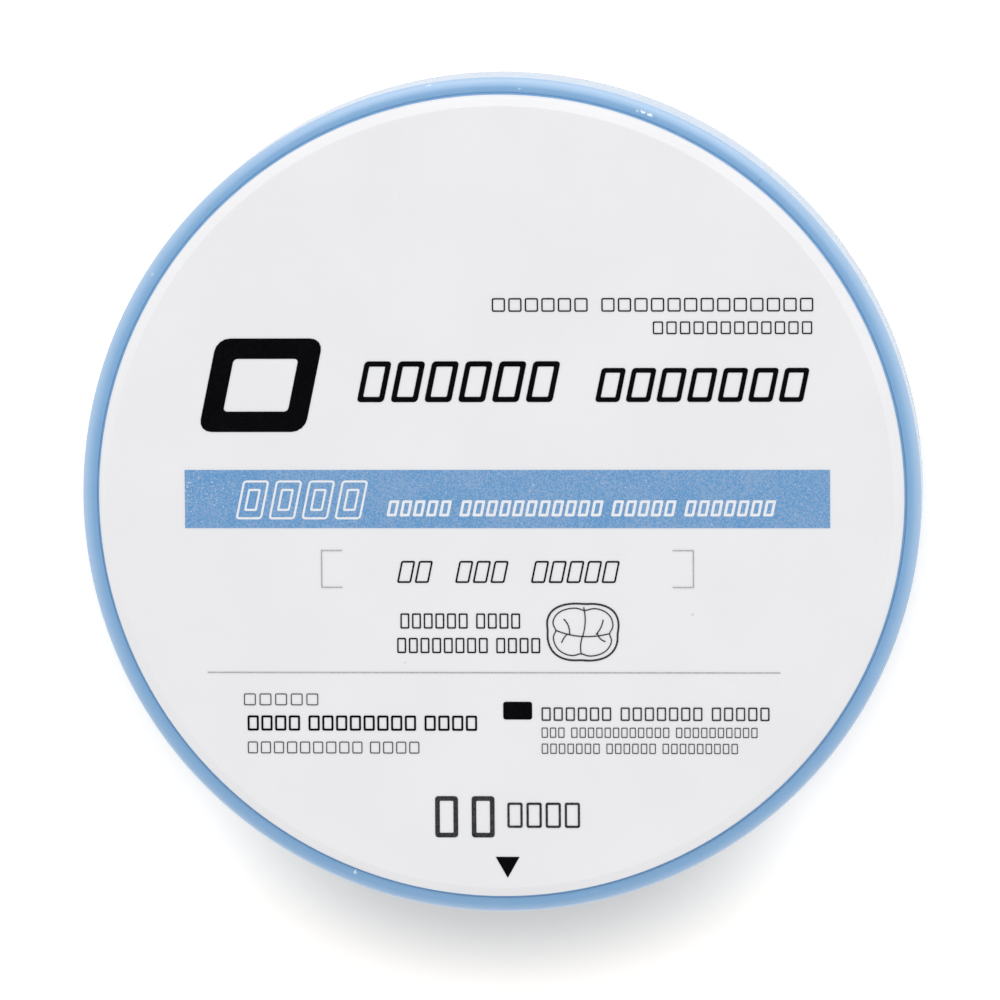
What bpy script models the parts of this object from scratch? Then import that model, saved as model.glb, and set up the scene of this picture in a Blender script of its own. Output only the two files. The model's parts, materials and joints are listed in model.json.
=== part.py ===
"""A dental milling disc: a white pre-sintered zirconia blank bonded into a blue plastic collar.

Units are metres and +Z is up. The disc lies flat, its lower face on z = 0 and its axis on Z, and its printed
face looks up. The print is read with +X to the right and +Y away from the reader.
"""

from math import atan2, cos, exp, pi, radians, sin

import bmesh
import bpy
from mathutils import Vector

# Disc: the holder takes the outer diameter and clamps on the collar's lands
DISC_DIAMETER = 0.0985
BLANK_THICKNESS = 0.0140
ROUND_SEGMENTS = 128
SHARP_ANGLE = 0.6

# Collar: each land is flat at the bore and falls away outwards in a round, down to a small round corner
COLLAR_WALL = 0.00175
COLLAR_HEIGHT = 0.0100
LAND_FALL_RADIUS = 0.0015
LAND_FALL_ANGLE = radians(50)
LAND_FALL_STEPS = 5
COLLAR_CORNER_RADIUS = 0.00017
COLLAR_CORNER_STEPS = 2
COLLAR_BORE_CHAMFER = 0.00012
BOND_GAP = 0.00025

# Blank's edge, alike at both faces: a flat chamfer, then a round shoulder into the wall
CHAMFER_RUN = 0.00075
CHAMFER_DROP = 0.00060
SHOULDER_RADIUS = 0.0012
SHOULDER_STEPS = 5

# Print
INK_THICKNESS = 0.00005
PRINT_OFFSET_X = 0.0008
BAND_LENGTH = 0.0756
BAND_HEIGHT = 0.00685
HAIRLINE = 0.00015
DIVIDER_LENGTH = 0.0673
DIVIDER_OFFSET_X = -0.0017
DIVIDER_Y = -0.0205
BRACKET_SPAN = 0.0436
BRACKET_TOP_Y = -0.0060
BRACKET_HEIGHT = 0.0045
BRACKET_TICK = 0.0025
MARKER_OFFSET_X = -0.0002
MARKER_WIDTH = 0.0028
MARKER_HEIGHT = 0.0025
MARKER_TO_FACE_EDGE = 0.0012

# Printed molar: outline, and inside it the rim of the chewing surface as a share of the outline
CROWN_WIDTH = 0.0086
CROWN_HEIGHT = 0.0070
CROWN_X = 0.0088
CROWN_Y = -0.0157
CROWN_LINE = 0.00022
CROWN_SQUARENESS = 2.8
CROWN_TAPER = 0.05
CROWN_NOTCH = 0.02
CROWN_SEGMENTS = 64
RIM_SHARE = 0.84
RIM_NOTCH = 0.11
NOTCH_WIDTH = 0.35
NOTCH_TURN = 0.15
GROOVE_LINE = 0.00014
GROOVE_STEPS = 8

# Heights and radii that follow from the sizes above
COLLAR_RADIUS = DISC_DIAMETER / 2
BORE_RADIUS = COLLAR_RADIUS - COLLAR_WALL
BLANK_RADIUS = BORE_RADIUS - BOND_GAP
CHAMFER_TILT = atan2(CHAMFER_RUN, CHAMFER_DROP)
FACE_RADIUS = BLANK_RADIUS - SHOULDER_RADIUS * (1 - cos(CHAMFER_TILT)) - CHAMFER_RUN
MIDDLE_Z = BLANK_THICKNESS / 2
FACE_Z = BLANK_THICKNESS


def clear_scene():
    """Start from an empty scene."""
    for leftover in list(bpy.data.objects):
        bpy.data.objects.remove(leftover, do_unlink=True)


def finish(name, colour, roughness, coat=0.0):
    """A Principled BSDF with the piece's colour, given as linear RGB."""
    material = bpy.data.materials.new(name)
    material.use_nodes = True
    shader = material.node_tree.nodes["Principled BSDF"]
    shader.inputs["Base Color"].default_value = (*colour, 1.0)
    shader.inputs["Roughness"].default_value = roughness
    shader.inputs["Metallic"].default_value = 0.0
    shader.inputs["Coat Weight"].default_value = coat
    material.diffuse_color = (*colour, 1.0)
    return material


def add_object(name, mesh, material):
    """Link a finished mesh into the scene as one named piece."""
    piece = bpy.data.objects.new(name, mesh)
    mesh.materials.append(material)
    bpy.context.scene.collection.objects.link(piece)
    return piece


def shade_round(mesh):
    """Smooth a turned piece, and keep its real corners crisp."""
    mesh.shade_smooth()
    mesh.set_sharp_from_angle(angle=SHARP_ANGLE)


# Turned pieces


def turn(name, profile, material, closed):
    """Turn a profile of (radius, height) points round Z.

    A closed profile makes a ring. An open one starts and ends on the axis, and makes a solid disc.
    """
    form = bmesh.new()
    points = [form.verts.new((radius, 0.0, height)) for radius, height in profile]
    pairs = list(zip(points, points[1:]))
    if closed:
        pairs.append((points[-1], points[0]))
    edges = [form.edges.new(pair) for pair in pairs]
    bmesh.ops.spin(
        form, geom=points + edges, cent=(0, 0, 0), axis=(0, 0, 1), dvec=(0, 0, 0),
        angle=2 * pi, steps=ROUND_SEGMENTS, use_merge=True, use_duplicate=False,
    )
    bmesh.ops.remove_doubles(form, verts=form.verts[:], dist=1e-7)
    bmesh.ops.recalc_face_normals(form, faces=form.faces[:])
    mesh = bpy.data.meshes.new(name)
    form.to_mesh(mesh)
    form.free()
    shade_round(mesh)
    return add_object(name, mesh, material)


def arc(centre, radius, start, end, steps):
    """Points of an arc in the (radius, height) plane, its angles measured from the outward direction."""
    turns = [start + (end - start) * step / steps for step in range(steps + 1)]
    return [(centre[0] + radius * cos(turn_by), centre[1] + radius * sin(turn_by)) for turn_by in turns]


def blank_edge():
    """The upper half of the blank's edge, face outwards, as (radius, height above the middle)."""
    half = BLANK_THICKNESS / 2
    shoulder_drop = SHOULDER_RADIUS * sin(CHAMFER_TILT)
    shoulder_centre = (BLANK_RADIUS - SHOULDER_RADIUS, half - CHAMFER_DROP - shoulder_drop)
    return [(FACE_RADIUS, half)] + arc(shoulder_centre, SHOULDER_RADIUS, CHAMFER_TILT, 0.0, SHOULDER_STEPS)


def mirrored_profile(upper):
    """The upper half of a section, followed by its mirror image below the disc's middle plane."""
    lower = [(radius, -height) for radius, height in reversed(upper)]
    return [(radius, MIDDLE_Z + height) for radius, height in upper + lower]


def make_zirconia_blank():
    """The white disc, turned with a chamfer and a round shoulder at both faces."""
    profile = [(0.0, FACE_Z)] + mirrored_profile(blank_edge()) + [(0.0, 0.0)]
    chalk = finish("chalky_zirconia", (0.83, 0.83, 0.84), roughness=0.85)
    return turn("zirconia_blank", profile, chalk, closed=False)


def collar_edge():
    """The upper half of the collar's section, bore outwards, as (radius, height above the middle)."""
    half = COLLAR_HEIGHT / 2
    lean = pi / 2 - LAND_FALL_ANGLE
    reach = LAND_FALL_RADIUS - COLLAR_CORNER_RADIUS
    corner_x = COLLAR_RADIUS - COLLAR_CORNER_RADIUS
    fall_centre = (corner_x - reach * sin(LAND_FALL_ANGLE), half - LAND_FALL_RADIUS)
    corner_centre = (corner_x, fall_centre[1] + reach * cos(LAND_FALL_ANGLE))
    bore = [(BORE_RADIUS, half - COLLAR_BORE_CHAMFER), (BORE_RADIUS + COLLAR_BORE_CHAMFER, half)]
    fall = arc(fall_centre, LAND_FALL_RADIUS, pi / 2, lean, LAND_FALL_STEPS)
    corner = arc(corner_centre, COLLAR_CORNER_RADIUS, lean, 0.0, COLLAR_CORNER_STEPS)
    return bore + fall + corner[1:]


def make_collar_ring():
    """The moulded blue ring, with flat lands that round off to the outside and a small chamfer at the bore."""
    plastic = finish("blue_collar_plastic", (0.20, 0.39, 0.65), roughness=0.35, coat=0.1)
    return turn("collar_ring", mirrored_profile(collar_edge()), plastic, closed=True)


# Printed pieces, each a film of ink that lies on the upper face


def film(name, loops, material):
    """A film of ink on the face, from one outline, or an outer and an inner one with as many points."""
    form = bmesh.new()
    rings = [[form.verts.new((x, y, FACE_Z)) for x, y in loop] for loop in loops]
    if len(rings) == 1:
        faces = [form.faces.new(rings[0])]
    else:
        outer, inner = rings
        count = len(outer)
        faces = [
            form.faces.new((outer[i], outer[(i + 1) % count], inner[(i + 1) % count], inner[i]))
            for i in range(count)
        ]
    raised = bmesh.ops.extrude_face_region(form, geom=faces)["geom"]
    top = [item for item in raised if isinstance(item, bmesh.types.BMVert)]
    bmesh.ops.translate(form, vec=(0, 0, INK_THICKNESS), verts=top)
    bmesh.ops.recalc_face_normals(form, faces=form.faces[:])
    mesh = bpy.data.meshes.new(name)
    form.to_mesh(mesh)
    form.free()
    return add_object(name, mesh, material)


def rectangle(centre_x, centre_y, width, height):
    """The corners of an upright rectangle, counter-clockwise."""
    right, top = width / 2, height / 2
    corners = ((-right, -top), (right, -top), (right, top), (-right, top))
    return [(centre_x + x, centre_y + y) for x, y in corners]


def make_band_print():
    """The wide blue bar across the middle of the face."""
    ink = finish("blue_band_ink", (0.16, 0.34, 0.58), roughness=0.8)
    return film("band_print", [rectangle(PRINT_OFFSET_X, 0.0, BAND_LENGTH, BAND_HEIGHT)], ink)


def make_divider_print(ink):
    """The thin line that sets off the lower print."""
    line = rectangle(PRINT_OFFSET_X + DIVIDER_OFFSET_X, DIVIDER_Y, DIVIDER_LENGTH, HAIRLINE)
    return film("divider_print", [line], ink)


def make_bracket_print(name, side, ink):
    """A square bracket that opens towards the middle, with side -1 on the left and +1 on the right."""
    outer_x = BRACKET_SPAN / 2 + HAIRLINE / 2
    inner_x = outer_x - HAIRLINE
    tick_x = outer_x - BRACKET_TICK
    top = BRACKET_TOP_Y
    bottom = BRACKET_TOP_Y - BRACKET_HEIGHT
    right_bracket = (
        (tick_x, bottom), (outer_x, bottom), (outer_x, top), (tick_x, top), (tick_x, top - HAIRLINE),
        (inner_x, top - HAIRLINE), (inner_x, bottom + HAIRLINE), (tick_x, bottom + HAIRLINE),
    )
    outline = [(PRINT_OFFSET_X + side * x, y) for x, y in right_bracket]
    return film(name, [outline if side > 0 else outline[::-1]], ink)


def make_marker_print():
    """The small triangle near the lower edge, which points at it."""
    half = MARKER_WIDTH / 2
    apex_y = MARKER_TO_FACE_EDGE - FACE_RADIUS
    base_y = apex_y + MARKER_HEIGHT
    middle_x = PRINT_OFFSET_X + MARKER_OFFSET_X
    outline = [(middle_x - half, base_y), (middle_x, apex_y), (middle_x + half, base_y)]
    ink = finish("black_ink", (0.012, 0.012, 0.013), roughness=0.75)
    return film("marker_print", [outline], ink)


# Molar seen from above: the crown's outline, and inside it the rim of the chewing surface with its grooves


def crown_point(angle, size_share, notch_depth):
    """A point of the rounded crown, drawn in to a share of its size and notched between its four cusps."""
    squareness = CROWN_SQUARENESS
    reach = (abs(cos(angle)) ** squareness + abs(sin(angle)) ** squareness) ** (-1 / squareness)
    notch = exp(-((sin(2 * angle + NOTCH_TURN) / NOTCH_WIDTH) ** 2))
    radius = size_share * reach * (1 - notch_depth * notch)
    taper = 1 + CROWN_TAPER * sin(angle)
    return Vector((CROWN_WIDTH / 2 * radius * taper * cos(angle), CROWN_HEIGHT / 2 * radius * sin(angle)))


def crown_loops(size_share, notch_depth, line_width):
    """The outer and the inner edge of a line round the crown."""
    angles = [2 * pi * step / CROWN_SEGMENTS for step in range(CROWN_SEGMENTS)]
    outer = [crown_point(angle, size_share, notch_depth) for angle in angles]
    inner = []
    for index, point in enumerate(outer):
        along = outer[(index + 1) % CROWN_SEGMENTS] - outer[index - 1]
        inner.append(point + Vector((-along.y, along.x)).normalized() * line_width)
    return [on_crown(outer), on_crown(inner)]


def on_crown(points):
    """Points measured from the crown's centre, moved to its place on the face."""
    return [(PRINT_OFFSET_X + CROWN_X + point.x, CROWN_Y + point.y) for point in points]


def groove_outline(start, bend, end):
    """A groove's line, smooth from start to end, its points given as shares of the crown's half size."""
    middle = []
    for step in range(GROOVE_STEPS + 1):
        t = step / GROOVE_STEPS
        weights = ((1 - t) ** 2, 2 * t * (1 - t), t ** 2)
        share = [sum(w * p[axis] for w, p in zip(weights, (start, bend, end))) for axis in (0, 1)]
        middle.append(Vector((share[0] * CROWN_WIDTH / 2, share[1] * CROWN_HEIGHT / 2)))
    left, right = [], []
    for index, point in enumerate(middle):
        along = middle[min(index + 1, GROOVE_STEPS)] - middle[max(index - 1, 0)]
        aside = Vector((-along.y, along.x)).normalized() * GROOVE_LINE / 2
        left.append(point + aside)
        right.append(point - aside)
    return on_crown(right + left[::-1])


def make_tooth_outline_print():
    """The molar's outline."""
    ink = finish("dark_grey_ink", (0.08, 0.08, 0.09), roughness=0.8)
    return film("tooth_outline_print", crown_loops(1.0, CROWN_NOTCH, CROWN_LINE), ink)


def make_tooth_groove_print():
    """The rim of the chewing surface, with the grooves joined to it and to each other as one film."""
    ink = finish("faded_grey_ink", (0.17, 0.17, 0.18), roughness=0.8)
    rim = film("tooth_groove_print", crown_loops(RIM_SHARE, RIM_NOTCH, GROOVE_LINE), ink)
    grooves = {
        "main_groove": ((-0.74, 0.06), (-0.05, -0.30), (0.74, -0.05)),
        "upper_groove": ((0.03, 0.84), (0.12, 0.35), (0.0, -0.13)),
        "lower_groove": ((-0.04, -0.76), (-0.10, -0.45), (0.0, -0.11)),
        "upper_left_groove": ((-0.52, 0.44), (-0.34, 0.24), (-0.36, -0.10)),
        "lower_left_groove": ((-0.58, -0.36), (-0.50, -0.12), (-0.40, -0.06)),
        "upper_right_groove": ((0.56, 0.42), (0.52, 0.12), (0.36, -0.08)),
        "lower_right_groove": ((0.62, -0.32), (0.44, -0.26), (0.40, -0.04)),
    }
    for name, (start, bend, end) in grooves.items():
        groove = film(name, [groove_outline(start, bend, end)], ink)
        groove.hide_render = True
        groove.display_type = "WIRE"
        join = rim.modifiers.new(name, "BOOLEAN")
        join.operation = "UNION"
        join.object = groove
    return rim


def build():
    """Make every piece of the disc."""
    clear_scene()
    make_zirconia_blank()
    make_collar_ring()
    make_band_print()
    grey_ink = finish("grey_ink", (0.42, 0.42, 0.43), roughness=0.8)
    make_divider_print(grey_ink)
    make_bracket_print("bracket_print_left", -1, grey_ink)
    make_bracket_print("bracket_print_right", 1, grey_ink)
    make_tooth_outline_print()
    make_tooth_groove_print()
    make_marker_print()


build()
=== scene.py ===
"""Looks of a dental milling disc: a chalky zirconia blank in a blue plastic collar, with print on its face.

Units are metres. The disc lies on z = 0 with its printed face up. +X runs along the printed bar to the
reader's right, and +Y to the top of the print.
"""

import json
import logging
import math
from collections.abc import Callable, Iterator
from contextlib import contextmanager
from dataclasses import dataclass
from enum import Enum

import bmesh
import bpy
from mathutils import Matrix, Vector


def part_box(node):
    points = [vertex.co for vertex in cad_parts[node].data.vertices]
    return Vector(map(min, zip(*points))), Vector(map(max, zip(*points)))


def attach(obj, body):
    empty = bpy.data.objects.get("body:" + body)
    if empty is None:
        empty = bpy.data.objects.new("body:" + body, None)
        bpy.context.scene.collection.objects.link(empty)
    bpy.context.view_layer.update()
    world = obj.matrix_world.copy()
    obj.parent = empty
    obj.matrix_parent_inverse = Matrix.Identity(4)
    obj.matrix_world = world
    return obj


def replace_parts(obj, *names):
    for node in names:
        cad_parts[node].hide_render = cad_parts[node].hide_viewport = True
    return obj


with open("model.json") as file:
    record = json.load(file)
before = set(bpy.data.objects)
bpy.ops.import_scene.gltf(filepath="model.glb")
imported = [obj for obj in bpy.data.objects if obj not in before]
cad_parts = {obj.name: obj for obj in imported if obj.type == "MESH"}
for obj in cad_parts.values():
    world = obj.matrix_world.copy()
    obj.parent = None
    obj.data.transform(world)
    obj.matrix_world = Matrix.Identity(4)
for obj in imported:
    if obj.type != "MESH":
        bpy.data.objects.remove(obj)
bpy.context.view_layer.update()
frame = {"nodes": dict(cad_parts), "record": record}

LOG = logging.getLogger("milling_disc")
FULL_TURN = 2 * math.pi
QUARTER_TURN = math.pi / 2
# How many faces go round a turned piece.
ROUND_STEPS = 512
# Points whose places differ by less count as level. The floor lies this far below the disc.
TOUCH = 1e-5
# The least angle between two faces whose edge stays sharp.
SHARP_ANGLE = math.radians(28)

Colour = tuple[float, float, float]
Span = tuple[float, float]
Spot = tuple[float, float]
Outline = list[Spot]


class Slot(Enum):
    """The record's material slots."""

    ZIRCONIA = "zirconia"
    COLLAR = "collar_plastic"
    BLUE = "blue_ink"
    GREY = "grey_ink"
    DARK = "dark_ink"
    BLACK = "black_ink"


class Lean(Enum):
    """How far a printed mark leans to the right, as a share of its height."""

    UPRIGHT = 0.0
    SLANTED = 0.21


class Part(Enum):
    """The parts of a mesh, each with the name of its list in an open mesh."""

    VERT = "verts"
    EDGE = "edges"
    FACE = "faces"


# Shader maths


@dataclass(frozen=True)
class Blotches:
    """An irregular pattern of smooth blotches.

    Attributes:
        size: About how large a blotch is.
        detail: How many finer octaves lie over it.
        seed: The number that picks this pattern, so that no two patterns line up.
    """

    size: float
    detail: float
    seed: float


class Socket:
    """A node's output that takes part in Python sums as a number does."""

    def __init__(self, graph: "Graph", source: bpy.types.NodeSocket) -> None:
        """Wrap one output socket of a graph."""
        self.graph = graph
        self.source = source

    def __add__(self, other: "Socket | float") -> "Socket":
        """This value plus another."""
        return self.graph.math("ADD", self, other)

    def __radd__(self, other: float) -> "Socket":
        """A number plus this value."""
        return self.graph.math("ADD", other, self)

    def __sub__(self, other: "Socket | float") -> "Socket":
        """This value less another."""
        return self.graph.math("SUBTRACT", self, other)

    def __rsub__(self, other: float) -> "Socket":
        """A number less this value."""
        return self.graph.math("SUBTRACT", other, self)

    def __mul__(self, other: "Socket | float") -> "Socket":
        """This value times another."""
        return self.graph.math("MULTIPLY", self, other)

    def __rmul__(self, other: float) -> "Socket":
        """A number times this value."""
        return self.graph.math("MULTIPLY", other, self)

    def __pow__(self, other: float) -> "Socket":
        """This value to a power."""
        return self.graph.math("POWER", self, other)

    def __abs__(self) -> "Socket":
        """This value without its sign."""
        return self.graph.math("ABSOLUTE", self, 0.0)

    def swing(self, reach: float) -> "Socket":
        """This noise moved to swing evenly about 0, from end to end over a reach."""
        return (self - 0.5) * reach

    def at_least(self, least: float) -> "Socket":
        """This mask with its 0 raised to a least value and its 1 as it was."""
        return self * (1 - least) + least


class Graph:
    """The node tree of one material or world, built from nothing."""

    def __init__(self, owner: bpy.types.Material | bpy.types.World) -> None:
        """Switch the owner to nodes, clear its tree and add its output node."""
        owner.use_nodes = True
        self.tree = owner.node_tree
        self.tree.nodes.clear()
        self.target = self.tree.nodes.new("ShaderNodeOutput" + type(owner).__name__)

    def node(
        self, kind: str, settings: dict[str, object] | None = None,
        inputs: dict[str | int, object] | None = None, output: str | int = 0,
    ) -> Socket:
        """Add one node, its settings first and then its inputs.

        Args:
            kind: The node's type without the word ShaderNode in front.
            settings: Properties of the node.
            inputs: A value or a Socket for each input, by name or number.
            output: The output that is returned, by name or number.

        Returns:
            The chosen output.
        """
        made = self.tree.nodes.new("ShaderNode" + kind)
        for name, value in (settings or {}).items():
            setattr(made, name, value)
        for name, value in (inputs or {}).items():
            if isinstance(value, Socket):
                self.tree.links.new(value.source, made.inputs[name])
            else:
                made.inputs[name].default_value = value
        return Socket(self, made.outputs[output])

    def math(self, operation: str, first: Socket | float, second: Socket | float) -> Socket:
        """Join two values by a Math node."""
        return self.node("Math", {"operation": operation}, {0: first, 1: second})

    def larger(self, first: Socket, second: Socket) -> Socket:
        """The larger of two values."""
        return self.math("MAXIMUM", first, second)

    def distance(self, first: Socket, second: Socket) -> Socket:
        """How far from 0 two offsets at right angles reach together."""
        return (first * first + second * second) ** 0.5

    def place(self) -> Socket:
        """The point on the piece, in the piece's own metres."""
        return self.node("TexCoord", output="Object")

    def axes(self, point: Socket) -> tuple[Socket, Socket, Socket]:
        """The X, Y and Z of a point."""
        split = self.node("SeparateXYZ", inputs={0: point}).source.node
        return tuple(Socket(self, output) for output in split.outputs)

    def noise(self, point: Socket, blotches: Blotches) -> Socket:
        """Read a pattern of blotches at a point.

        Args:
            point: Where the pattern is read.
            blotches: The pattern.

        Returns:
            The noise, from 0 to 1 and 0.5 on average.
        """
        settings = {"noise_dimensions": "4D"}
        inputs = {"Vector": point, "W": blotches.seed, "Scale": 1 / blotches.size, "Detail": blotches.detail}
        return self.node("TexNoise", settings, inputs)

    def fade(self, value: Socket, low: float, high: float) -> Socket:
        """A smooth step from 0 at low to 1 at high. Low may be the larger of the two."""
        if low > high:
            return 1.0 - self.fade(value, high, low)
        settings = {"interpolation_type": "SMOOTHSTEP"}
        return self.node("MapRange", settings, {"Value": value, "From Min": low, "From Max": high})

    def mix(self, share: Socket, first: Colour | Socket, second: Colour | Socket) -> Socket:
        """Blend two colours, from the first at 0 to the second at 1."""
        ends = [value if isinstance(value, Socket) else (*value, 1.0) for value in (first, second)]
        return self.node("Mix", {"data_type": "RGBA"}, {0: share, 6: ends[0], 7: ends[1]}, output=2)

    def bump(self, height: Socket, depth: float) -> Socket:
        """A normal tilted by a height from 0 to 1 that stands for a depth in metres."""
        return self.node("Bump", inputs={"Height": height, "Distance": depth, "Strength": 1.0})

    def close(self, shader: Socket) -> None:
        """Join a shader to the tree's output node."""
        self.tree.links.new(shader.source, self.target.inputs["Surface"])


# Finishes


@dataclass(frozen=True)
class ChalkyZirconia:
    """Pre-sintered zirconia: matt and chalky, with a fine grain, faint turning marks and a rare dark speck.

    Attributes:
        colour: The bare ceramic.
        shade: What the ceramic's slightly darker clouds reach.
        speck_colour: The rare specks.
        clouds: The soft blotches of shade.
        grain: The pressed powder's grain.
        specks: The pattern whose peaks are the specks.
        cloud_share: The clouds' share of the shading. The grain has the rest.
        shading: The noise levels between which the shade gives way to the bare ceramic.
        speck_edge: The noise levels between which a speck sets in.
        speck_share: How far a speck covers the ceramic.
        roughness: How matt the face is.
        roughness_reach: How much the grain varies that.
        specular: The level of the face's faint gloss.
        grain_depth: How deep the grain goes.
        turning_pitch: The distance between the turning marks.
        turning_depth: How deep the turning marks are.
    """

    colour: Colour = (0.842, 0.842, 0.858)
    shade: Colour = (0.822, 0.822, 0.838)
    speck_colour: Colour = (0.62, 0.61, 0.60)
    clouds: Blotches = Blotches(size=0.011, detail=3.0, seed=1.0)
    grain: Blotches = Blotches(size=0.00016, detail=3.0, seed=2.0)
    specks: Blotches = Blotches(size=0.0011, detail=0.0, seed=3.0)
    cloud_share: float = 0.7
    shading: Span = (0.35, 0.65)
    speck_edge: Span = (0.865, 0.90)
    speck_share: float = 0.55
    roughness: float = 0.82
    roughness_reach: float = 0.12
    specular: float = 0.25
    grain_depth: float = 0.000006
    turning_pitch: float = 0.00030
    turning_depth: float = 0.0000012

    def material(self) -> bpy.types.Material:
        """Build the ceramic.

        Returns:
            The finished material.
        """
        made = bpy.data.materials.new("chalky_zirconia")
        graph = Graph(made)
        point = graph.place()
        x, y, _ = graph.axes(point)
        clouds = graph.noise(point, self.clouds)
        grain = graph.noise(point, self.grain)
        share = graph.fade(clouds * self.cloud_share + grain * (1 - self.cloud_share), *self.shading)
        specks = graph.fade(graph.noise(point, self.specks), *self.speck_edge) * self.speck_share
        colour = graph.mix(specks, graph.mix(share, self.shade, self.colour), self.speck_colour)
        turning = graph.math("SINE", graph.distance(x, y) * (FULL_TURN / self.turning_pitch), 0.0)
        height = grain + turning * (self.turning_depth / 2 / self.grain_depth)
        shader = graph.node("BsdfPrincipled", inputs={
            "Base Color": colour,
            "Roughness": self.roughness + grain.swing(self.roughness_reach),
            "Normal": graph.bump(height, self.grain_depth),
            "Specular IOR Level": self.specular,
        })
        graph.close(shader)
        return made


@dataclass(frozen=True)
class Nick:
    """A small scuff in the collar's upper land.

    Attributes:
        azimuth: Its place round the ring in degrees, counter-clockwise from +X.
        radius: Its distance from the disc's axis.
        length: Its half length along the ring.
        width: Its half width across the ring.
        white: How far it pales the plastic. Below 0 it darkens it.
    """

    azimuth: float
    radius: float
    length: float
    width: float
    white: float


LAND_NICKS = (
    Nick(68.5, 0.04819, 0.00042, 0.00020, 1.0),
    Nick(69.5, 0.04822, 0.00034, 0.00018, 0.95),
    Nick(70.3, 0.04812, 0.00024, 0.00014, 0.45),
    Nick(87.0, 0.04800, 0.00026, 0.00013, 0.35),
    Nick(99.6, 0.04900, 0.00034, 0.00014, 0.42),
    Nick(-111.5, 0.04780, 0.00018, 0.00034, 0.75),
    Nick(147.2, 0.04846, 0.00024, 0.00018, 0.24),
    Nick(50.6, 0.04790, 0.00014, 0.00045, -0.45),
)


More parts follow.
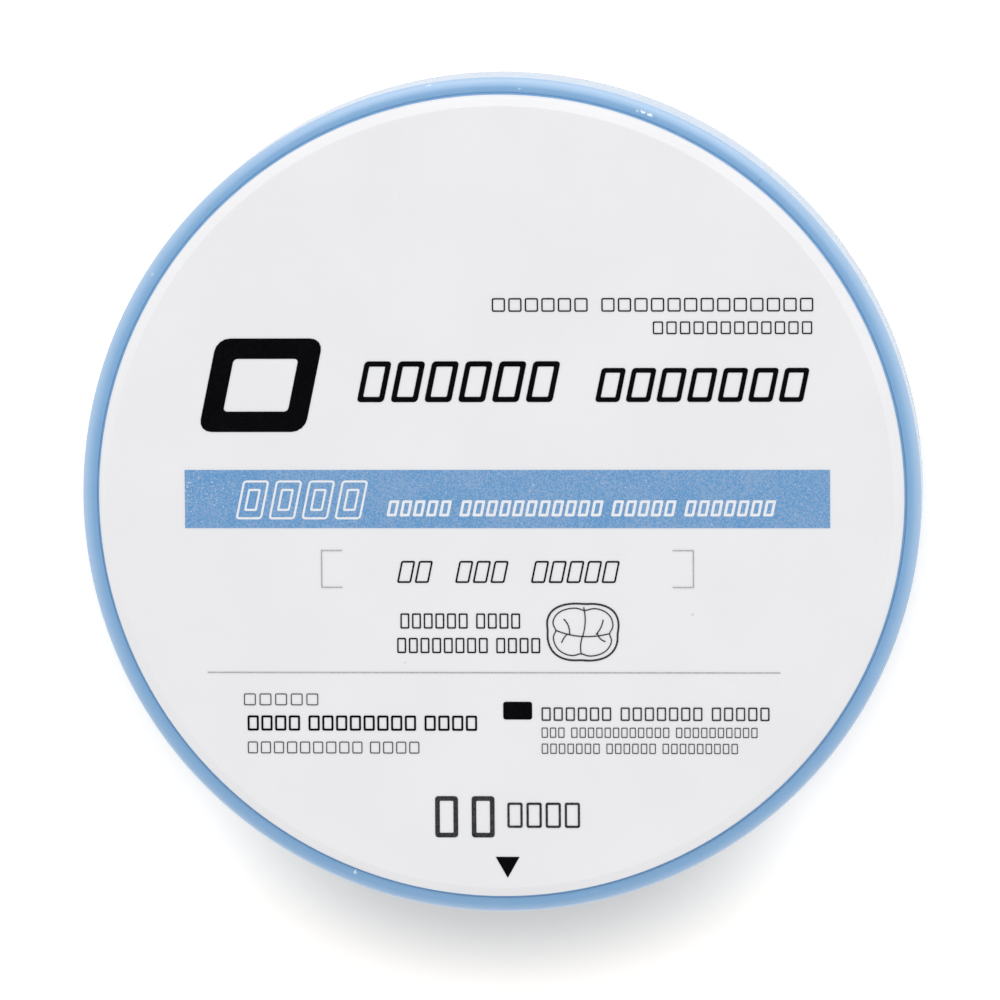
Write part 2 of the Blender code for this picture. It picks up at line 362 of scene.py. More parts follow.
@dataclass(frozen=True)
class CollarPlastic:
    """Blue moulded plastic with a satin gloss, painted paler towards the outside as a sheen for reflected
    white.

    Attributes:
        bore_radius: The ring's bore.
        outer_radius: The ring's outside, where the painted sheen is strongest.
        middle_z: The height of the ring's middle plane.
        colour: The plastic at the bore.
        pale: The palest plastic, which the streaks lean to and the painted sheen reaches at the outside.
        bruise: The whitened plastic of a nick.
        shadow: The plastic of a dark scratch.
        streaks: The soft streaks of paler plastic.
        streak_edge: The noise levels between which a streak sets in.
        streak_share: How far a streak goes to the palest plastic.
        paling_start: How far outside the bore the painted sheen starts.
        paling_waver: How much the streaks vary that.
        land_edge: The heights above the middle plane between which the wall gives way to the land.
        wall_paling: The painted sheen on the wall, as a share of the land's.
        wall_texture: The same for the moulded texture.
        peel: The moulded texture.
        peel_depth: How deep it goes.
        nicks: The scuffs in the upper land.
        nick_grain: What breaks up their outlines.
        nick_ragged: How far it does, measured as nick_edge is.
        nick_edge: Where a nick starts and where it is full, as the square of a share of its half sizes.
        nick_rise: How far above the middle plane the nicks may show.
        nick_depth: How deep a pale nick is, as a share of peel_depth.
        nick_roughness: How much rougher it is.
        roughness: The satin gloss.
        roughness_reach: How much the streaks vary that.
        ior: The plastic's index of refraction.
        coat: The share of the surface's polished skin.
        coat_roughness: How clear that skin is.
    """

    bore_radius: float
    outer_radius: float
    middle_z: float
    colour: Colour = (0.178, 0.385, 0.655)
    pale: Colour = (0.36, 0.53, 0.75)
    bruise: Colour = (0.84, 0.89, 0.95)
    shadow: Colour = (0.09, 0.20, 0.40)
    streaks: Blotches = Blotches(size=0.0032, detail=3.0, seed=4.0)
    streak_edge: Span = (0.38, 0.70)
    streak_share: float = 0.06
    paling_start: float = 0.0003
    paling_waver: float = 0.0002
    land_edge: Span = (0.0025, 0.0042)
    wall_paling: float = 0.2
    wall_texture: float = 0.25
    peel: Blotches = Blotches(size=0.00042, detail=2.0, seed=5.0)
    peel_depth: float = 0.000006
    nicks: tuple[Nick, ...] = LAND_NICKS
    nick_grain: Blotches = Blotches(size=0.00022, detail=2.0, seed=10.0)
    nick_ragged: float = 4.0
    nick_edge: Span = (1.1, 0.5)
    nick_rise: float = 0.0007
    nick_depth: float = 2.0
    nick_roughness: float = 0.3
    roughness: float = 0.30
    roughness_reach: float = 0.10
    ior: float = 1.52
    coat: float = 0.9
    coat_roughness: float = 0.12

    def nick_mask(self, graph: Graph, point: Socket, dark: bool) -> Socket:
        """Where the nicks of one kind lie, their outlines ragged.

        Args:
            graph: The material's nodes.
            point: The point on the ring.
            dark: Whether the darkening scratches are meant, and not the pale nicks.

        Returns:
            A mask, 1 in the middle of the strongest nick.
        """
        x, y, z = graph.axes(point)
        ragged = graph.noise(point, self.nick_grain).swing(self.nick_ragged)
        total = None
        for nick in self.nicks:
            if (nick.white < 0) is not dark:
                continue
            turn = math.radians(nick.azimuth)
            along = (y * math.cos(turn) - x * math.sin(turn)) * (1 / nick.length)
            across = (x * math.cos(turn) + y * math.sin(turn) - nick.radius) * (1 / nick.width)
            mask = graph.fade(along * along + across * across + ragged, *self.nick_edge) * abs(nick.white)
            total = mask if total is None else total + mask
        return total * graph.fade(z, self.middle_z, self.middle_z + self.nick_rise)

    def material(self) -> bpy.types.Material:
        """Build the plastic.

        Returns:
            The finished material.
        """
        made = bpy.data.materials.new("blue_collar_plastic")
        graph = Graph(made)
        point = graph.place()
        x, y, z = graph.axes(point)
        streaks = graph.noise(point, self.streaks)
        # Painted sheen: the plastic pales towards the outside, less on the wall, in place of reflected white
        # surroundings.
        wavering = graph.distance(x, y) + streaks.swing(self.paling_waver)
        outward = graph.fade(wavering, self.bore_radius + self.paling_start, self.outer_radius)
        near_land = graph.fade(abs(z - self.middle_z), *self.land_edge)
        colour = graph.mix(outward * near_land.at_least(self.wall_paling), self.colour, self.pale)
        colour = graph.mix(graph.fade(streaks, *self.streak_edge) * self.streak_share, colour, self.pale)
        pale_nicks = self.nick_mask(graph, point, dark=False)
        colour = graph.mix(pale_nicks, colour, self.bruise)
        colour = graph.mix(self.nick_mask(graph, point, dark=True), colour, self.shadow)
        relief = graph.noise(point, self.peel) - pale_nicks * self.nick_depth
        roughness = self.roughness + streaks.swing(self.roughness_reach)
        shader = graph.node("BsdfPrincipled", inputs={
            "Base Color": colour,
            "Roughness": roughness + pale_nicks * self.nick_roughness,
            "Normal": graph.bump(relief * near_land.at_least(self.wall_texture), self.peel_depth),
            "IOR": self.ior,
            "Coat Weight": self.coat,
            "Coat Roughness": self.coat_roughness,
        })
        graph.close(shader)
        return made


@dataclass(frozen=True)
class Adhesive:
    """The cured adhesive line between blank and collar, with a soft gloss. Its darker blue is partly painted
    shade.

    Attributes:
        colour: The adhesive.
        worn: The paler adhesive on its lumps.
        lumps: The uneven surface.
        lump_edge: The noise levels between which the colour gives way to the worn one.
        lump_depth: How deep the unevenness goes.
        roughness: The soft gloss.
        roughness_reach: How much the lumps vary that.
    """

    # A little darker than the collar's blue: partly painted shade in the gap between blank and collar.
    colour: Colour = (0.170, 0.365, 0.630)
    worn: Colour = (0.195, 0.405, 0.680)
    lumps: Blotches = Blotches(size=0.0012, detail=3.0, seed=6.0)
    lump_edge: Span = (0.35, 0.65)
    lump_depth: float = 0.00002
    roughness: float = 0.40
    roughness_reach: float = 0.2

    def material(self) -> bpy.types.Material:
        """Build the adhesive.

        Returns:
            The finished material.
        """
        made = bpy.data.materials.new("bonding_adhesive")
        graph = Graph(made)
        lumps = graph.noise(graph.place(), self.lumps)
        shader = graph.node("BsdfPrincipled", inputs={
            "Base Color": graph.mix(graph.fade(lumps, *self.lump_edge), self.colour, self.worn),
            "Roughness": self.roughness + lumps.swing(self.roughness_reach),
            "Normal": graph.bump(lumps, self.lump_depth),
        })
        graph.close(shader)
        return made


@dataclass(frozen=True)
class Ink:
    """A film of ink printed on the chalky face, whose grain breaks it up.

    Attributes:
        name: The material's name.
        colour: The ink where it lies full.
        thin: The ink where it lies thin.
        pinholes: The noise level at which the ink starts to be missing. At 1 none of it is.
        pinhole_edge: How far above that level a pinhole is full.
        paper: The ceramic that shows through the pinholes.
        paper_share: How far it shows through a full one.
        mottle: The fine pattern in which the ink lies thin.
        drift: The broad one.
        mottle_share: The fine pattern's share. The broad one has the rest.
        thinning: The levels of both together between which the ink goes from full to thin.
        holes: The pattern whose peaks are the pinholes.
        worn_corner: A place on the face where more of the ink is missing, or None.
        worn_reach: How far the wear reaches from that place.
        wear: How much it adds there to the pinholes' pattern.
        roughness: How matt the ink is.
        roughness_reach: How much the mottling varies that.
        specular: The level of the ink's faint gloss.
        depth: How deep the mottling goes.
    """

    name: str
    colour: Colour
    thin: Colour
    pinholes: float
    pinhole_edge: float = 0.16
    paper: Colour = (0.83, 0.83, 0.845)
    paper_share: float = 0.8
    mottle: Blotches = Blotches(size=0.00020, detail=2.0, seed=7.0)
    drift: Blotches = Blotches(size=0.0044, detail=2.0, seed=8.0)
    mottle_share: float = 0.80
    thinning: Span = (0.40, 0.62)
    holes: Blotches = Blotches(size=0.00014, detail=0.0, seed=9.0)
    worn_corner: Spot | None = None
    worn_reach: float = 0.009
    wear: float = 0.08
    roughness: float = 0.72
    roughness_reach: float = 0.15
    specular: float = 0.02
    depth: float = 0.000006

    def material(self) -> bpy.types.Material:
        """Build the ink.

        Returns:
            The finished material.
        """
        made = bpy.data.materials.new(self.name)
        graph = Graph(made)
        point = graph.place()
        mottle = graph.noise(point, self.mottle)
        uneven = mottle * self.mottle_share + graph.noise(point, self.drift) * (1 - self.mottle_share)
        colour = graph.mix(graph.fade(uneven, *self.thinning), self.colour, self.thin)
        holes = graph.noise(point, self.holes)
        if self.worn_corner is not None:
            x, y, _ = graph.axes(point)
            away = graph.distance(x - self.worn_corner[0], y - self.worn_corner[1])
            holes = holes + graph.fade(away, self.worn_reach, 0.0) * self.wear
        bare = graph.fade(holes, self.pinholes, self.pinholes + self.pinhole_edge)
        shader = graph.node("BsdfPrincipled", inputs={
            "Base Color": graph.mix(bare * self.paper_share, colour, self.paper),
            "Roughness": self.roughness + mottle.swing(self.roughness_reach),
            "Normal": graph.bump(mottle - bare, self.depth),
            "Specular IOR Level": self.specular,
        })
        graph.close(shader)
        return made


# Modelling helpers


@contextmanager
def modelling(name: str) -> Iterator[bpy.types.Object]:
    """Open a new piece in edit mode, its origin at the disc's, and leave edit mode when it is done.

    Args:
        name: The piece's name.

    Yields:
        The piece, with an empty mesh.
    """
    bpy.ops.object.select_all(action="DESELECT")
    piece = bpy.data.objects.new(name, bpy.data.meshes.new(name))
    bpy.context.scene.collection.objects.link(piece)
    bpy.context.view_layer.objects.active = piece
    piece.select_set(True)
    bpy.ops.object.mode_set(mode="EDIT")
    yield piece
    bpy.ops.object.mode_set(mode="OBJECT")


def pick(piece: bpy.types.Object, part: Part, wanted: Callable[[object], bool]) -> None:
    """Select the parts of an open mesh that answer a test, and nothing else.

    Args:
        piece: The piece in edit mode.
        part: Which parts are meant.
        wanted: The test that each of them is put to.
    """
    form = bmesh.from_edit_mesh(piece.data)
    chosen = [item for item in getattr(form, part.value) if wanted(item)]
    for group in (form.verts, form.edges, form.faces):
        for item in group:
            item.select = False
    bpy.context.tool_settings.mesh_select_mode = [each is part for each in Part]
    form.select_mode = {part.name}
    for item in chosen:
        item.select_set(True)
    form.select_flush_mode()
    bmesh.update_edit_mesh(piece.data)


def smooth(piece: bpy.types.Object) -> None:
    """Shade a turned piece smooth, apart from its real corners."""
    bpy.ops.object.select_all(action="DESELECT")
    piece.select_set(True)
    bpy.context.view_layer.objects.active = piece
    bpy.ops.object.shade_smooth_by_angle(angle=SHARP_ANGLE)


def hand_over(piece: bpy.types.Object, material: bpy.types.Material) -> bpy.types.Object:
    """Dress a finished piece and let it ride on the disc.

    Args:
        piece: The finished piece.
        material: Its material.

    Returns:
        The same piece.
    """
    piece.data.materials.append(material)
    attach(piece, "root")
    return piece


# Turned pieces


def turn_ring(profile: Outline) -> None:
    """Turn an outline round the disc's axis in the open mesh, ring by ring.

    Args:
        profile: The radius and the height of each ring, in order.
    """
    (radius, height), *others = profile
    bpy.ops.mesh.primitive_circle_add(vertices=ROUND_STEPS, radius=radius, location=(0, 0, height))
    for next_radius, next_height in others:
        bpy.ops.mesh.extrude_region_move(TRANSFORM_OT_translate={"value": (0, 0, next_height - height)})
        share = next_radius / radius
        bpy.ops.transform.resize(value=(share, share, 1.0), center_override=(0, 0, 0))
        radius, height = next_radius, next_height


def close_ring(piece: bpy.types.Object) -> None:
    """Bridge a turned outline's last ring to its first, and turn its faces outwards."""
    pick(piece, Part.EDGE, lambda edge: edge.is_boundary)
    bpy.ops.mesh.bridge_edge_loops()
    bpy.ops.mesh.select_all(action="SELECT")
    bpy.ops.mesh.normals_make_consistent(inside=False)


def arc(centre: Spot, radius: float, start: float, end: float, steps: int) -> Outline:
    """Points of an arc in the plane of radius and height.

    Args:
        centre: The arc's centre.
        radius: The arc's radius.
        start: The first point's angle above the outward direction.
        end: The last point's angle.
        steps: How many chords the arc has.

    Returns:
        The points, both ends included.
    """
    turns = [start + (end - start) * step / steps for step in range(steps + 1)]
    return [(centre[0] + radius * math.cos(turn), centre[1] + radius * math.sin(turn)) for turn in turns]


def mirrored(upper: Outline, middle: float) -> Outline:
    """An upper half outline above a middle plane, followed by its mirror image below it."""
    lower = [(radius, -height) for radius, height in reversed(upper)]
    return [(radius, middle + height) for radius, height in upper + lower]


@dataclass
class Blank:
    """The turned zirconia blank. Both faces have a chamfer that runs into a round shoulder.

    Attributes:
        radius: The wall's radius.
        thickness: The distance between the two faces.
        chamfer_run: The chamfer's width, measured along the face.
        chamfer_drop: The chamfer's depth below the face.
        shoulder_radius: The round between the chamfer and the wall.
        shoulder_steps: How many faces make up that round.
        edge_break: The tiny round where the face meets the chamfer.
        edge_steps: How many faces make up the tiny round.
        face_rim: The width of the narrow faces that edge each flat face and keep its shading flat.
        finish: The ceramic.
    """

    radius: float
    thickness: float
    chamfer_run: float = 0.00075
    chamfer_drop: float = 0.00060
    shoulder_radius: float = 0.0012
    shoulder_steps: int = 12
    edge_break: float = 0.00012
    edge_steps: int = 4
    face_rim: float = 0.00048
    finish: ChalkyZirconia = ChalkyZirconia()

    def upper_edge(self) -> Outline:
        """The upper half of the edge, from the face out to the wall, above the middle plane."""
        half = self.thickness / 2
        tilt = math.atan2(self.chamfer_run, self.chamfer_drop)
        face_radius = self.radius - self.shoulder_radius * (1 - math.cos(tilt)) - self.chamfer_run
        reach = self.edge_break * math.tan((QUARTER_TURN - tilt) / 2)
        broken = (face_radius - reach, half - self.edge_break)
        shoulder_z = half - self.chamfer_drop - self.shoulder_radius * math.sin(tilt)
        shoulder = (self.radius - self.shoulder_radius, shoulder_z)
        return (
            arc(broken, self.edge_break, QUARTER_TURN, tilt, self.edge_steps)
            + arc(shoulder, self.shoulder_radius, tilt, 0.0, self.shoulder_steps)
        )

    def build(self) -> list[bpy.types.Object]:
        """Turn the blank's edge, cap both faces and dress it.

        Returns:
            The finished piece.
        """
        with modelling("blank") as piece:
            turn_ring(mirrored(self.upper_edge(), self.thickness / 2))
            for level in (0.0, self.thickness):
                pick(piece, Part.EDGE, lambda edge, level=level: (
                    edge.is_boundary and all(abs(vert.co.z - level) < TOUCH for vert in edge.verts)
                ))
                bpy.ops.mesh.edge_face_add()
                bpy.ops.mesh.inset(thickness=self.face_rim)
                bpy.ops.mesh.poke()
            bpy.ops.mesh.select_all(action="SELECT")
            bpy.ops.mesh.normals_make_consistent(inside=False)
        smooth(piece)
        return [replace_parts(hand_over(piece, self.finish.material()), "zirconia_blank")]


@dataclass
class Collar:
    """The moulded holder ring. Its lands are flat at the bore and crowned towards a crisp outer corner.

    Attributes:
        radius: The outer radius.
        bottom: The lower land's height.
        top: The upper land's height.
        wall: The ring's width.
        crown_radius: The round that the land falls away in.
        crown_fall: How far the crown has turned down at the corner.
        crown_steps: How many faces make up the crown.
        corner_radius: The small round of the outer corner.
        corner_steps: How many faces make up the corner.
        bore_break: The small round at the bore.
        bore_steps: How many faces make up the small round.
    """

    radius: float
    bottom: float
    top: float
    wall: float = 0.00175
    crown_radius: float = 0.0015
    crown_fall: float = math.radians(50)
    crown_steps: int = 14
    corner_radius: float = 0.00030
    corner_steps: int = 5
    bore_break: float = 0.00012
    bore_steps: int = 3

    @property
    def bore(self) -> float:
        """The bore's radius."""
        return self.radius - self.wall

    @property
    def middle_z(self) -> float:
        """The height of the middle plane."""
        return (self.bottom + self.top) / 2

    def upper_section(self) -> Outline:
        """The upper half of the section, from the bore out to the wall, above the middle plane."""
        half = (self.top - self.bottom) / 2
        lean = QUARTER_TURN - self.crown_fall
        inwards = self.crown_radius - self.corner_radius
        corner_x = self.radius - self.corner_radius
        corner_z = half - (self.crown_radius - inwards * math.cos(self.crown_fall))
        crown = (corner_x - inwards * math.sin(self.crown_fall), half - self.crown_radius)
        bore_edge = (self.bore + self.bore_break, half - self.bore_break)
        return (
            arc(bore_edge, self.bore_break, math.pi, QUARTER_TURN, self.bore_steps)
            + arc(crown, self.crown_radius, QUARTER_TURN, lean, self.crown_steps)
            + arc((corner_x, corner_z), self.corner_radius, lean, 0.0, self.corner_steps)[1:]
        )

    def build(self) -> list[bpy.types.Object]:
        """Turn the ring and dress it.

        Returns:
            The finished piece.
        """
        with modelling("collar") as piece:
            turn_ring(mirrored(self.upper_section(), self.middle_z))
            close_ring(piece)
        smooth(piece)
        plastic = CollarPlastic(bore_radius=self.bore, outer_radius=self.radius, middle_z=self.middle_z)
        return [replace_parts(hand_over(piece, plastic.material()), "collar_ring")]


@dataclass
class BondLine:
    """The adhesive that fills the gap between blank and collar, its surface sunk to a shallow meniscus.

    Attributes:
        inner_radius: The blank's wall.
        collar: The collar that it lies in.
        depth: How far the edges of its surface lie below the collar's lands.
        clearance: The hairline left to the pieces on both sides.
        sink: How far the middle of the surface lies below its edges.
        surface_steps: How many faces make up the surface.
        finish: The adhesive.
    """

    inner_radius: float
    collar: Collar
    depth: float = 0.00004
    clearance: float = 0.000006
    sink: float = 0.00003
    surface_steps: int = 6
    finish: Adhesive = Adhesive()

    def upper_section(self) -> Outline:
        """The upper surface's section, from the blank out to the collar, above the middle plane."""
        half = (self.collar.top - self.collar.bottom) / 2 - self.depth
        start = self.inner_radius + self.clearance
        width = self.collar.bore - self.inner_radius - 2 * self.clearance
        shares = [step / self.surface_steps for step in range(self.surface_steps + 1)]
        return [(start + width * share, half - self.sink * math.sin(math.pi * share)) for share in shares]

    def build(self) -> list[bpy.types.Object]:
        """Turn the line and dress it.

        Returns:
            The finished piece.
        """
        with modelling("bond_line") as piece:
            turn_ring(mirrored(self.upper_section(), self.collar.middle_z))
            close_ring(piece)
        smooth(piece)
        return [hand_over(piece, self.finish.material())]


# Print


@dataclass(frozen=True)
class MarkRow:
    """A row of plain printed blocks in the place of a line of print.

    Attributes:
        name: The piece's name.
        slot: The record's slot of its ink.
        left: Where the row starts.
        middle_y: The height of its middle on the face.
        height: The blocks' height.
        words: How many blocks stand together, from left to right.
        block: A block's width.
        slit: The space between two blocks.
        gap: The space between two groups.
        stroke: The line's width of a hollow block, or 0 for a full one.
        lean: Whether the blocks stand upright or slant.
        corner: The radius of a block's corners as a share of its shorter side.
        inner_corner: The least radius of a hollow block's inner corners, as a share of the outer one.
        corner_steps: How many chords make up a corner.
    """

    name: str
    slot: Slot
    left: float
    middle_y: float
    height: float
    words: tuple[int, ...]
    block: float
    slit: float
    gap: float
    stroke: float = 0.0
    lean: Lean = Lean.UPRIGHT
    corner: float = 0.14
    inner_corner: float = 0.3
    corner_steps: int = 4

    def build(self, base_z: float, film: float, material: bpy.types.Material) -> bpy.types.Object:
        """Model one block, copy it along the row and raise it all to the film's thickness.

        Args:
            base_z: The surface that the row is printed on.
            film: The film's thickness.
            material: The ink.

        Returns:
            The finished piece.
        """
        with modelling(self.name) as piece:
            self.add_block(piece, base_z)
            pitch = self.block + self.slit
            step = 0.0
            for index, count in enumerate(self.words):
                for copy in range(count):
                    if index or copy:
                        bpy.ops.mesh.duplicate_move(TRANSFORM_OT_translate={"value": (step, 0, 0)})
                    step = pitch
                step = pitch + self.gap - self.slit
            bpy.ops.mesh.select_all(action="SELECT")
            bpy.ops.mesh.extrude_region_move(TRANSFORM_OT_translate={"value": (0, 0, film)})
            bpy.ops.mesh.select_all(action="SELECT")
            bpy.ops.mesh.normals_make_consistent(inside=False)
        return hand_over(piece, material)

    def add_block(self, piece: bpy.types.Object, base_z: float) -> None:
        """Draw the row's first block flat on the face, and leave it selected.

        Args:
            piece: The piece in edit mode.
            base_z: The surface that the row is printed on.
        """
        radius = self.corner * min(self.block, self.height)
        if self.stroke:
            inner_radius = max(radius - self.stroke, radius * self.inner_corner)
            self.add_outline(piece, base_z, self.stroke, inner_radius)
        self.add_outline(piece, base_z, 0.0, radius)
        bpy.ops.mesh.select_all(action="SELECT")
        if self.stroke:
            bpy.ops.mesh.delete(type="ONLY_FACE")
            pick(piece, Part.EDGE, lambda edge: True)
            bpy.ops.mesh.bridge_edge_loops()
            bpy.ops.mesh.select_all(action="SELECT")

    def add_outline(self, piece: bpy.types.Object, base_z: float, inset: float, radius: float) -> None:
        """Draw one outline with round corners at the row's lean. An inner one comes before its outer one.

        Args:
            piece: The piece in edit mode.
            base_z: The surface that the row is printed on.
            inset: How far the outline is drawn in from the block's own.
            radius: The radius of its corners.
        """
        width = self.block - 2 * inset * math.hypot(1.0, self.lean.value)
        height = self.height - 2 * inset
        centre = (self.left + self.block / 2, self.middle_y, base_z)
        bpy.ops.mesh.primitive_plane_add(size=1.0, location=centre)
        bpy.ops.transform.resize(value=(width, height, 1.0), center_override=centre)
        for side in (-1, 1):
            pick(piece, Part.VERT, lambda vert, level=self.middle_y + side * height / 2: (
                abs(vert.co.y - level) < TOUCH
            ))
            bpy.ops.transform.translate(value=(side * self.lean.value * height / 2, 0, 0))
        pick(piece, Part.VERT, lambda vert: abs(abs(vert.co.y - self.middle_y) - height / 2) < TOUCH)
        bpy.ops.mesh.bevel(affect="VERTICES", offset=radius, segments=self.corner_steps)


# Each row gives its name, slot, left, middle_y, height, words, block, slit, gap, stroke and lean.
HEADING_ROWS = (
    MarkRow("heading_upper", Slot.BLACK, -0.0008, 0.0228, 0.0016, (6, 13), 0.00155, 0.00038, 0.0016, 0.00016),
    MarkRow("heading_lower", Slot.BLACK, 0.0180, 0.0201, 0.0015, (12,), 0.00120, 0.00038, 0.0014, 0.00015),
    MarkRow("emblem_block", Slot.BLACK, -0.0342, 0.0134, 0.0110, (1,), 0.0125, 0.0, 0.0, 0.0024,
            Lean.SLANTED),
    MarkRow("title_left", Slot.BLACK, -0.0162, 0.0138, 0.0048, (6,), 0.00315, 0.00080, 0.0, 0.00062,
            Lean.SLANTED),
    MarkRow("title_right", Slot.BLACK, 0.0116, 0.0134, 0.0040, (7,), 0.00285, 0.00072, 0.0, 0.00056,
            Lean.SLANTED),
)
BAND_ROWS = (
    MarkRow("band_initials", Slot.ZIRCONIA, -0.0306, -0.0001, 0.0046, (4,), 0.0031, 0.00077, 0.0, 0.00025,
            Lean.SLANTED),
    MarkRow("band_initials_inner", Slot.ZIRCONIA, -0.0298, -0.0001, 0.0026, (4,), 0.0015, 0.00237, 0.0,
            0.00025, Lean.SLANTED),
    MarkRow("band_words", Slot.ZIRCONIA, -0.01315, -0.0011, 0.0019, (5, 11, 5, 7), 0.00118, 0.00036, 0.0012,
            0.00032, Lean.SLANTED),
)
FACE_ROWS = (
    MarkRow("bracket_words", Slot.BLACK, -0.0119, -0.0086, 0.0026, (2, 3, 5), 0.00165, 0.00042, 0.0031,
            0.00020, Lean.SLANTED),
    MarkRow("note_upper", Slot.BLACK, -0.0118, -0.0144, 0.0018, (6, 4), 0.00105, 0.00032, 0.0010, 0.00017),
    MarkRow("note_lower", Slot.BLACK, -0.0122, -0.0173, 0.0018, (8, 4), 0.00105, 0.00032, 0.0010, 0.00017),
    MarkRow("left_small", Slot.DARK, -0.0303, -0.0237, 0.0014, (5,), 0.00139, 0.00045, 0.0, 0.00011),
    MarkRow("left_bold", Slot.BLACK, -0.0299, -0.0265, 0.0018, (4, 8, 4), 0.00132, 0.00030, 0.0010, 0.00024),
    MarkRow("left_fine", Slot.DARK, -0.0299, -0.0294, 0.0014, (9, 4), 0.00118, 0.00036, 0.0009, 0.00011),
    MarkRow("right_upper", Slot.DARK, 0.0047, -0.0254, 0.0016, (6, 7, 5), 0.00108, 0.00034, 0.0011, 0.00017),
    MarkRow("right_middle", Slot.DARK, 0.0047, -0.0276, 0.0012, (3, 12, 10), 0.00072, 0.00026, 0.0008,
            0.00010),
    MarkRow("right_lower", Slot.DARK, 0.0047, -0.0295, 0.0012, (7, 6, 9), 0.00074, 0.00027, 0.0008, 0.00010),
    MarkRow("symbol_block", Slot.BLACK, 0.0002, -0.0250, 0.0021, (1,), 0.0034, 0.0, 0.0),
    MarkRow("foot_pair", Slot.DARK, -0.0079, -0.0376, 0.0049, (2,), 0.0027, 0.0016, 0.0, 0.00055),
    MarkRow("foot_row", Slot.DARK, 0.0006, -0.0374, 0.0030, (4,), 0.0018, 0.00045, 0.0, 0.00027),
)


@dataclass
class FacePrint:
    """Everything printed on the face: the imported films, and rows of plain blocks for the lines of print.

    Attributes:
        face_z: The height of the bare face.
        film: The thickness of an ink film.
        band_top: The height of the printed band's surface.
        knock_out: How far the band's pale marks stand over it.
    """

    face_z: float
    film: float
    band_top: float
    knock_out: float = 0.000012

    def inks(self) -> dict[Slot, bpy.types.Material]:
        """Mix the inks.

        Returns:
            A material for each slot that the print uses.
        """
        band_low, band_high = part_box("band_print")
        inks = {
            Slot.BLUE: Ink(
                "blue_band_ink", colour=(0.122, 0.312, 0.590), thin=(0.272, 0.410, 0.620), pinholes=0.72,
                worn_corner=(band_low.x, band_high.y),
            ),
            Slot.GREY: Ink(
                "grey_hairline_ink", colour=(0.40, 0.40, 0.41), thin=(0.52, 0.52, 0.53), pinholes=0.82,
            ),
            Slot.DARK: Ink(
                "dark_grey_ink", colour=(0.022, 0.023, 0.025), thin=(0.060, 0.062, 0.066), pinholes=0.84,
            ),
            Slot.BLACK: Ink(
                "black_ink", colour=(0.0015, 0.0015, 0.0018), thin=(0.004, 0.004, 0.005), pinholes=0.90,
            ),
            Slot.ZIRCONIA: Ink(
                "knocked_out_ceramic", colour=(0.84, 0.84, 0.86), thin=(0.76, 0.80, 0.85), pinholes=0.99,
            ),
        }
        return {slot: ink.material() for slot, ink in inks.items()}

    def dress_films(self, inks: dict[Slot, bpy.types.Material]) -> list[bpy.types.Object]:
        """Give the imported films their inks.

        Args:
            inks: A material for each slot.

        Returns:
            The dressed films.
        """
        films = []
        for row in frame["record"]["subparts"]:
            slot = Slot(row["material_slot"])
            if slot in (Slot.ZIRCONIA, Slot.COLLAR):
                continue
            film = frame["nodes"][row["node"]]
            for place in film.material_slots:
                place.material = inks[slot]
            films.append(film)
        return films

    def build(self) -> list[bpy.types.Object]:
        """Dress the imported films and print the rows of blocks.

        Returns:
            The films and the rows.
        """
        inks = self.inks()
        films = self.dress_films(inks)
        rows = [row.build(self.face_z, self.film, inks[row.slot]) for row in HEADING_ROWS + FACE_ROWS]
        rows += [row.build(self.band_top, self.knock_out, inks[row.slot]) for row in BAND_ROWS]
        return films + rows


# Studio


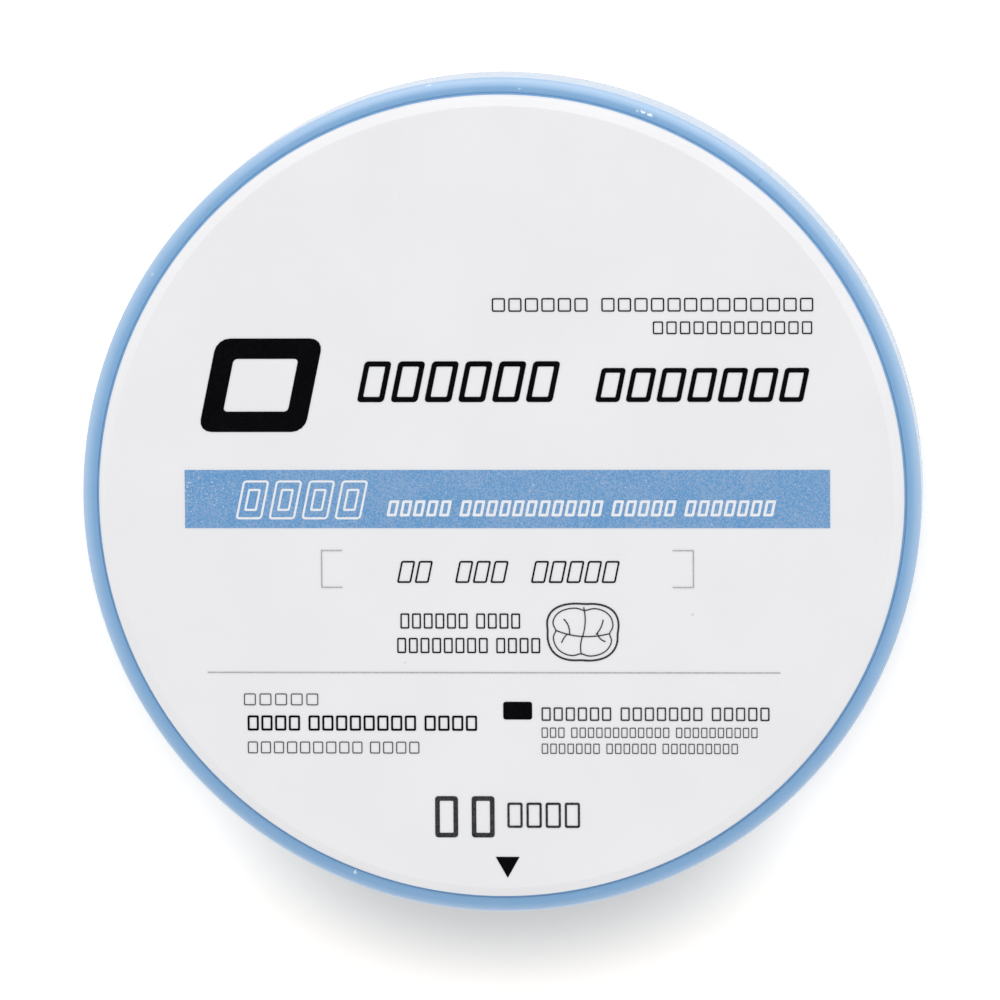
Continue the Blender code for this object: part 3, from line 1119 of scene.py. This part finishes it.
@dataclass
class Studio:
    """A white sweep under soft light from all round, with a mild key from the top of the print.

    Attributes:
        level: The strength of the light from overhead.
        horizon: How much stronger the light from the horizon is.
        front: How much of that extra light moves from behind the disc to the reader's side.
        horizon_reach: The height, as a direction's Z, at which the horizon's light has faded.
        white: The strength at which the surroundings show.
        reader_gloss: What gloss finds on the reader's side of the studio, as a share of that white.
        reader_side: The direction's Y at which that side starts, and at which it is at its dimmest.
        far_gloss: What gloss finds on the far side, as a share of that white.
        far_side: The direction's Y at which that side starts, and at which it is at its brightest.
        key_power: The key's power in watts.
        key_azimuth: The key's direction in degrees, counter-clockwise from +X.
        key_elevation: The key's height above the floor in degrees.
        key_distance: The key's distance from the disc.
        key_size: The width and the height of the key's panel.
        floor_size: The side of the square floor.
        floor_colour: The floor's white, as the disc sees it.
        floor_gloss: The floor's white, as gloss sees it.
        floor_seen: The floor's white, as the camera sees it.
        floor_front: The same in an oval on the reader's side, painted darker to deepen the disc's shadow.
        floor_tint: What the last three are tinted with, against the blue that the collar throws on the floor.
        front_middle: The Y of the middle of the patch.
        front_reach: The half length and the half width of the patch.
        front_edge: Where the patch starts and where it is full, as shares of those.
    """

    level: float = 0.725
    horizon: float = 1.0
    front: float = 0.38
    horizon_reach: float = 0.50
    white: float = 1.0
    reader_gloss: float = 0.25
    reader_side: Span = (-0.10, -0.60)
    far_gloss: float = 1.6
    far_side: Span = (0.45, 0.95)
    key_power: float = 10.5
    key_azimuth: float = 86.0
    key_elevation: float = 45.0
    key_distance: float = 1.6
    key_size: Span = (2.0, 1.8)
    floor_size: float = 12.0
    floor_colour: float = 0.80
    floor_gloss: float = 1.17
    floor_seen: float = 1.38
    floor_front: float = 0.95
    floor_tint: Colour = (1.035, 1.0, 0.955)
    front_middle: float = -0.048
    front_reach: Span = (0.046, 0.020)
    front_edge: Span = (1.0, 0.2)

    def looks(self, graph: Graph) -> tuple[Socket, Socket]:
        """What looks at the surroundings.

        Args:
            graph: The nodes of the floor or the world.

        Returns:
            1 where the camera looks, and 1 where the gloss or a clear piece does. Plain light has 0 in both.
        """
        rays = graph.node("LightPath", output="Is Camera Ray").source.node.outputs
        glossy, clear = (Socket(graph, rays[name]) for name in ("Is Glossy Ray", "Is Transmission Ray"))
        return Socket(graph, rays["Is Camera Ray"]), graph.larger(glossy, clear)

    def light_world(self) -> None:
        """Surround the disc with white light, dimmer to gloss on the reader's side and brighter beyond."""
        world = bpy.data.worlds.new("studio_world")
        bpy.context.scene.world = world
        graph = Graph(world)
        _, away, height = graph.axes(graph.node("TexCoord", output="Generated"))
        low_light = graph.fade(abs(height), self.horizon_reach, 0.0) * (1.0 - away * self.front)
        light = low_light * self.horizon + self.level
        camera, gloss = self.looks(graph)
        dimming = graph.fade(away, *self.reader_side) * (self.reader_gloss - 1.0)
        brightening = graph.fade(away, *self.far_side) * (self.far_gloss - 1.0)
        shown = (gloss * (dimming + brightening) + 1.0) * self.white
        strength = light + graph.larger(camera, gloss) * (shown - light)
        shader = graph.node("Background", inputs={"Color": (1.0, 1.0, 1.0, 1.0), "Strength": strength})
        graph.close(shader)

    def lay_floor(self) -> None:
        """Lay the floor just under the disc."""
        with modelling("floor") as floor:
            bpy.ops.mesh.primitive_plane_add(size=self.floor_size, location=(0, 0, -TOUCH))
        material = bpy.data.materials.new("white_sweep")
        graph = Graph(material)
        plain = (self.floor_colour,) * 3
        glossy, around, patch = (
            tuple(tone * part for part in self.floor_tint)
            for tone in (self.floor_gloss, self.floor_seen, self.floor_front)
        )
        camera, gloss = self.looks(graph)
        x, y, _ = graph.axes(graph.place())
        x, y = x * (1 / self.front_reach[0]), (y - self.front_middle) * (1 / self.front_reach[1])
        # Painted shade: the camera sees the floor darker in an oval on the reader's side, where the disc's
        # shadow falls.
        seen = graph.mix(graph.fade(graph.distance(x, y), *self.front_edge), around, patch)
        colour = graph.mix(camera, graph.mix(gloss, plain, glossy), seen)
        graph.close(graph.node("BsdfDiffuse", inputs={"Color": colour}))
        floor.data.materials.append(material)

    def hang_key(self) -> None:
        """Hang the key light and turn it to the disc."""
        turn, rise = math.radians(self.key_azimuth), math.radians(self.key_elevation)
        away = Vector((math.cos(rise) * math.cos(turn), math.cos(rise) * math.sin(turn), math.sin(rise)))
        lamp = bpy.data.lights.new("key_panel", "AREA")
        lamp.shape = "RECTANGLE"
        lamp.size, lamp.size_y = self.key_size
        lamp.energy = self.key_power
        panel = bpy.data.objects.new("key_panel", lamp)
        bpy.context.scene.collection.objects.link(panel)
        panel.location = away * self.key_distance
        panel.rotation_euler = away.to_track_quat("Z", "Y").to_euler()

    def build(self) -> None:
        """Set up the light and the floor, with colours shown as they are."""
        bpy.context.scene.view_settings.view_transform = "Standard"
        self.light_world()
        self.lay_floor()
        self.hang_key()


@dataclass
class PhotoCamera:
    """The camera, a long lens that looks almost straight down on the printed face.

    Attributes:
        face_z: The height of the face that it looks at.
        aim: The place on the face in the middle of the picture.
        distance: How far away it stands.
        tilt: How far it leans from the disc's axis, in degrees.
        azimuth: The side that it leans to, in degrees counter-clockwise from +X.
        lens: The focal length in millimetres.
        sensor: The sensor's width in millimetres.
        clip: The nearest and the farthest distance that it shows.
    """

    face_z: float
    aim: Spot = (0.0, -0.00012)
    distance: float = 1.073
    tilt: float = 7.625
    azimuth: float = 62.86
    lens: float = 330.2
    sensor: float = 36.0
    clip: Span = (0.05, 50.0)

    def build(self) -> None:
        """Place the camera, with the print's lines level in the picture."""
        lean, turn = math.radians(self.tilt), math.radians(self.azimuth)
        back = Vector((math.sin(lean) * math.cos(turn), math.sin(lean) * math.sin(turn), math.cos(lean)))
        up = back.cross(Vector((1, 0, 0))).normalized()
        right = up.cross(back)
        data = bpy.data.cameras.new("photo_camera")
        data.lens = self.lens
        data.sensor_width = self.sensor
        data.clip_start, data.clip_end = self.clip
        camera = bpy.data.objects.new("photo_camera", data)
        bpy.context.scene.collection.objects.link(camera)
        place = Matrix((right, up, back)).transposed().to_4x4()
        place.translation = Vector((*self.aim, self.face_z)) + back * self.distance
        camera.matrix_world = place
        bpy.context.scene.camera = camera


def main() -> None:
    logging.basicConfig(level=logging.INFO, format="%(message)s")
    blank_low, blank_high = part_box("zirconia_blank")
    collar_low, collar_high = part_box("collar_ring")
    _, band_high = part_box("band_print")

    PhotoCamera(face_z=blank_high.z).build()
    Studio().build()
    collar = Collar(radius=collar_high.x, bottom=collar_low.z, top=collar_high.z)
    for assembly in (
        Blank(radius=blank_high.x, thickness=blank_high.z - blank_low.z),
        collar,
        BondLine(inner_radius=blank_high.x, collar=collar),
        FacePrint(face_z=blank_high.z, film=band_high.z - blank_high.z, band_top=band_high.z),
    ):
        for piece in assembly.build():
            LOG.info("%s: %d faces in %s", piece.name, len(piece.data.polygons), piece.active_material.name)


if __name__ == "__main__":
    main()
